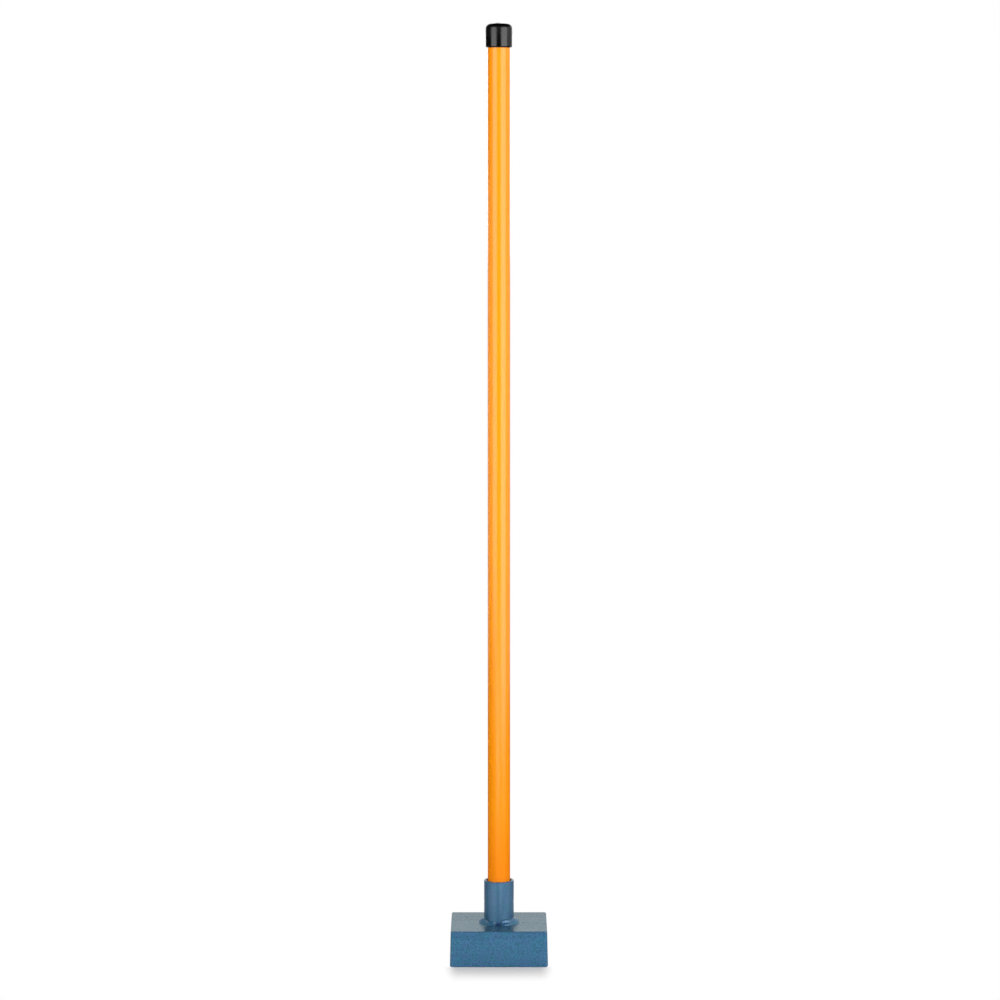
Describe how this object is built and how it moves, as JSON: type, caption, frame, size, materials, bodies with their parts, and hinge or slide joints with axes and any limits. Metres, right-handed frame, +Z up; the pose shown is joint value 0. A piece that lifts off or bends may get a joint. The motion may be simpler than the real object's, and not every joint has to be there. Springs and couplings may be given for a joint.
{
  "type": "hand tamper",
  "caption": "Upright hand tamper: square drafted steel block with a welded tube socket, a long round insulated handle bonded into it and a moulded end cap.",
  "frame": {"origin": "middle of the block's flat underside", "axes": "+Z up along the handle, +X to the right and +Y away from the viewer, both square to the block's sides"},
  "size_m": [0.139, 0.139, 1.328],
  "materials": {
    "hammer_paint": "gloss",
    "weld_paint": "gloss",
    "bonding_resin": "satin",
    "plain_steel": "satin",
    "orange_sheath": "gloss",
    "glass_fibre": "satin",
    "rigid_foam": "matte",
    "hard_plug": "satin",
    "black_cap": "satin"
  },
  "bodies": {
    "root": {"head_block": "hammer_paint", "socket_tube": "hammer_paint", "weld_run_left": "weld_paint", "weld_run_right": "weld_paint", "socket_resin": "bonding_resin", "cross_pin": "plain_steel", "handle_sheath": "orange_sheath", "handle_core": "glass_fibre", "foam_core": "rigid_foam", "foot_plug": "hard_plug", "top_plug": "hard_plug", "end_cap": "black_cap"}
  },
  "joints": []
}
